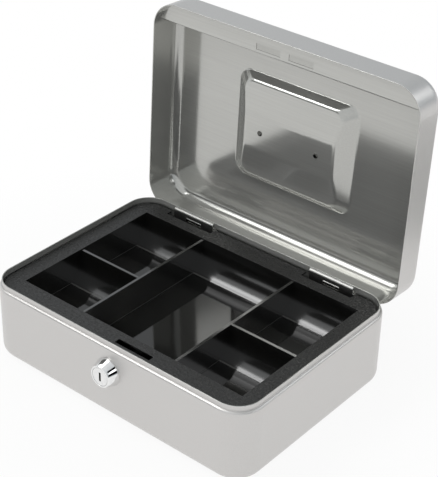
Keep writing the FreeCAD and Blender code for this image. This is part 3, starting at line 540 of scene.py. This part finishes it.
def keepSolid(node, body, finish, edge):
    # a merged copy of the solid: shared corners joined and flat faces made whole before easing
    mesh = frame["nodes"][node].data.copy()
    work = bmesh.new()
    work.from_mesh(mesh)
    bmesh.ops.remove_doubles(work, verts=work.verts, dist=mergeReach * mm)
    bmesh.ops.dissolve_limit(work, angle_limit=flatAngle, verts=work.verts, edges=work.edges)
    eased = work.edges.layers.float.new("bevel_weight_edge")
    for line in work.edges:
        sharp = line.calc_face_angle(0) > easing["angle"]
        line[eased] = float(sharp and line.is_convex)
        line.smooth = not sharp or line.is_convex
    for face in work.faces:
        face.smooth = any(flatAngle < line.calc_face_angle(0) < easing["angle"] for line in face.edges)
    work.to_mesh(mesh)
    work.free()
    mesh.materials.clear()
    mesh.materials.append(finishes[finish])
    mesh.polygons.foreach_set("material_index", np.zeros(len(mesh.polygons), dtype=np.int32))
    words = node.split("_")
    piece = bpy.data.objects.new(words[0] + "".join(word.title() for word in words[1:]), mesh)
    bpy.context.scene.collection.objects.link(piece)
    easeEdges(piece, edge, "WEIGHT")
    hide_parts(node)
    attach(piece, body)


for keptNode, (keptBody, keptFinish, keptEdge) in keptPieces.items():
    keepSolid(keptNode, keptBody, keptFinish, keptEdge)
print("kept solids dressed:", len(keptPieces))


# Studio

studio = {"floorSide": 680.0, "floorDrop": 0.3, "paper": "#F0EFED", "glowFrom": 170.0, "glowTo": 330.0,
          "glowLeast": 0.9, "shadeSide": "#AEB5BA", "brightSide": "#F4F6F7", "brightFrom": (-0.55, -0.7, 0.45),
          "roomSpread": (-0.6, 0.6), "horizon": (0.02, -0.04), "ambient": 0.97,
          "target": (0.0, 30.0, 80.0), "lock": (1.5, -95.0, 42.0)}
lamps = {
    "keyLamp": {"azimuth": -46, "elevation": 51, "distance": 1500.0,
                "across": 420.0, "tall": 580.0, "power": 2.9},
    "rearLamp": {"azimuth": 141, "elevation": 34, "distance": 1500.0,
                 "across": 600.0, "tall": 600.0, "power": 1.6},
    "sideLamp": {"azimuth": 94, "elevation": 26, "distance": 1400.0,
                 "across": 900.0, "tall": 900.0, "power": 2.8},
    "topLamp": {"azimuth": -86, "elevation": 60, "distance": 1500.0,
                "across": 1000.0, "tall": 1000.0, "power": 4.6},
}
cards = {
    "lowCard": {"azimuth": 94, "elevation": 14, "distance": 900.0,
                "wide": 420.0, "tall": 290.0, "felt": "#0A0A0A"},
    "highCard": {"azimuth": 94, "elevation": 44, "distance": 900.0,
                 "wide": 420.0, "tall": 230.0, "felt": "#0A0A0A"},
    "leftCard": {"azimuth": -108, "elevation": 43, "distance": 900.0,
                 "wide": 320.0, "tall": 520.0, "felt": "#6A6A69"},
    "frontCard": {"azimuth": -40, "elevation": 24, "distance": 1250.0,
                  "wide": 760.0, "tall": 400.0, "felt": "#2E2E2D"},
    "rearCard": {"azimuth": 142, "elevation": 5, "distance": 400.0,
                 "wide": 420.0, "tall": 130.0, "felt": "#E2E2E1"},
}


def seenPlainly(tree):
    # 1 for what is seen directly, in metal or through glass, and 0 for the light that falls on the object
    path = addNode(tree, "ShaderNodeLightPath").outputs
    seen = addNode(tree, "ShaderNodeMath", {"operation": "MAXIMUM"},
                   {0: path["Is Camera Ray"], 1: path["Is Glossy Ray"]})
    return addNode(tree, "ShaderNodeMath", {"operation": "MAXIMUM"},
                   {0: seen.outputs[0], 1: path["Is Transmission Ray"]}).outputs[0]


def studioPaper():
    # matt white paper: it keeps a soft shadow near the object and fades to white further out
    material, tree = newMaterial("studioPaper")
    matt = addNode(tree, "ShaderNodeBsdfDiffuse", {"Color": hexColour(studio["paper"])})
    glow = addNode(tree, "ShaderNodeEmission", {"Strength": 1.0})
    place = addNode(tree, "ShaderNodeTexCoord").outputs["Object"]
    away = addNode(tree, "ShaderNodeVectorMath", {"operation": "LENGTH"}, {0: place})
    fade = addNode(tree, "ShaderNodeMapRange", {"From Min": studio["glowFrom"] * mm,
                                                "From Max": studio["glowTo"] * mm,
                                                "To Min": studio["glowLeast"]},
                   {"Value": away.outputs["Value"]})
    share = addNode(tree, "ShaderNodeMath", {"operation": "MULTIPLY"},
                    {0: seenPlainly(tree), 1: fade.outputs["Result"]})
    mixed = addNode(tree, "ShaderNodeMixShader", links={0: share.outputs[0], 1: matt.outputs["BSDF"],
                                                        2: glow.outputs["Emission"]})
    addNode(tree, "ShaderNodeOutputMaterial", links={"Surface": mixed.outputs["Shader"]})
    return material


def studioFelt(name, colour):
    # dyed felt: an even matt tone that shows in the chrome, the scoops and the lid's side
    material, tree = newMaterial(name + "Felt")
    matt = addNode(tree, "ShaderNodeBsdfDiffuse", {"Color": hexColour(colour)})
    addNode(tree, "ShaderNodeOutputMaterial", links={"Surface": matt.outputs["BSDF"]})
    return material


def makeSheet(name, wide, tall, skin):
    half, rise = wide / 2 * mm, tall / 2 * mm
    mesh = bpy.data.meshes.new(name)
    corners = [(-half, -rise, 0), (half, -rise, 0), (half, rise, 0), (-half, rise, 0)]
    mesh.from_pydata(corners, [], [(0, 1, 2, 3)])
    mesh.materials.append(skin)
    sheet = bpy.data.objects.new(name, mesh)
    bpy.context.scene.collection.objects.link(sheet)
    return sheet


def outward(setting):
    # direction out from the object: azimuth turns from the front to the right, elevation lifts
    azimuth, elevation = math.radians(setting["azimuth"]), math.radians(setting["elevation"])
    return Vector((math.sin(azimuth) * math.cos(elevation), -math.cos(azimuth) * math.cos(elevation),
                   math.sin(elevation)))


def aimAt(thing, target, setting):
    # out from the target by azimuth, elevation and distance, facing back at it
    away = outward(setting)
    thing.location = Vector(target) * mm + away * setting["distance"] * mm
    thing.rotation_mode = "QUATERNION"
    thing.rotation_quaternion = away.to_track_quat("Z", "Y")


def makeSheets():
    floor = makeSheet("studioFloor", studio["floorSide"], studio["floorSide"], studioPaper())
    floor.location.z = -studio["floorDrop"] * mm
    for name, card in cards.items():
        sheet = makeSheet(name, card["wide"], card["tall"], studioFelt(name, card["felt"]))
        aimAt(sheet, studio["lock"], card)
        sheet.visible_camera = False


def makeWorld():
    # a pale room above the horizon, lighter towards one side, and plain white below it
    world = bpy.data.worlds.new("studioWorld")
    bpy.context.scene.world = world
    world.use_nodes = True
    tree = world.node_tree
    tree.nodes.clear()
    way = addNode(tree, "ShaderNodeTexCoord").outputs["Generated"]
    toward = addNode(tree, "ShaderNodeVectorMath", {"operation": "DOT_PRODUCT", 1: studio["brightFrom"]},
                     {0: way})
    share = addNode(tree, "ShaderNodeMapRange", {"From Min": studio["roomSpread"][0],
                                                 "From Max": studio["roomSpread"][1]},
                    {"Value": toward.outputs["Value"]})
    tone = addNode(tree, "ShaderNodeValToRGB", links={"Fac": share.outputs["Result"]})
    for stop, side in zip(tone.color_ramp.elements, ("shadeSide", "brightSide")):
        stop.color = hexColour(studio[side])
    room = addNode(tree, "ShaderNodeBackground", {"Strength": studio["ambient"]},
                   {"Color": tone.outputs["Color"]})
    white = addNode(tree, "ShaderNodeBackground", {"Color": (1, 1, 1, 1), "Strength": 1.0})
    rise = addNode(tree, "ShaderNodeSeparateXYZ", links={"Vector": way}).outputs["Z"]
    below = addNode(tree, "ShaderNodeMapRange", {"From Min": studio["horizon"][0],
                                                 "From Max": studio["horizon"][1]}, {"Value": rise})
    mixed = addNode(tree, "ShaderNodeMixShader", links={0: below.outputs["Result"],
                                                        1: room.outputs["Background"],
                                                        2: white.outputs["Background"]})
    addNode(tree, "ShaderNodeOutputWorld", links={"Surface": mixed.outputs["Shader"]})


def makeLamps():
    for name, lamp in lamps.items():
        light = bpy.data.lights.new(name, "AREA")
        light.shape = "ELLIPSE"
        light.size = lamp["across"] * mm
        light.size_y = lamp["tall"] * mm
        light.energy = lamp["power"]
        holder = bpy.data.objects.new(name, light)
        bpy.context.scene.collection.objects.link(holder)
        aimAt(holder, studio["target"], lamp)
        holder.visible_camera = False


photoView = {"longSide": 477, "focalPixels": 1389.57, "sensor": 36.0, "position": (564.46, -659.41, 651.0),
             "azimuth": 39.15, "elevation": 31.81, "roll": 1.44, "clip": (0.01, 100)}


def makeCamera():
    # the view that was fitted to the photograph, with its small roll
    azimuth, roll = math.radians(photoView["azimuth"]), math.radians(photoView["roll"])
    back = outward(photoView)
    level = Vector((math.cos(azimuth), math.sin(azimuth), 0))
    right = math.cos(roll) * level + math.sin(roll) * back.cross(level)
    up = back.cross(right)
    lens = bpy.data.cameras.new("photoCamera")
    lens.sensor_width = photoView["sensor"]
    lens.lens = photoView["focalPixels"] * photoView["sensor"] / photoView["longSide"]
    lens.clip_start, lens.clip_end = photoView["clip"]
    camera = bpy.data.objects.new("photoCamera", lens)
    bpy.context.scene.collection.objects.link(camera)
    place = Matrix((right, up, back)).transposed().to_4x4()
    place.translation = Vector(photoView["position"]) * mm
    camera.matrix_world = place
    bpy.context.scene.camera = camera


makeSheets()
makeWorld()
makeLamps()
makeCamera()
bpy.context.scene.view_settings.view_transform = "Standard"
print("studio and camera set")

bpy.context.view_layer.update()
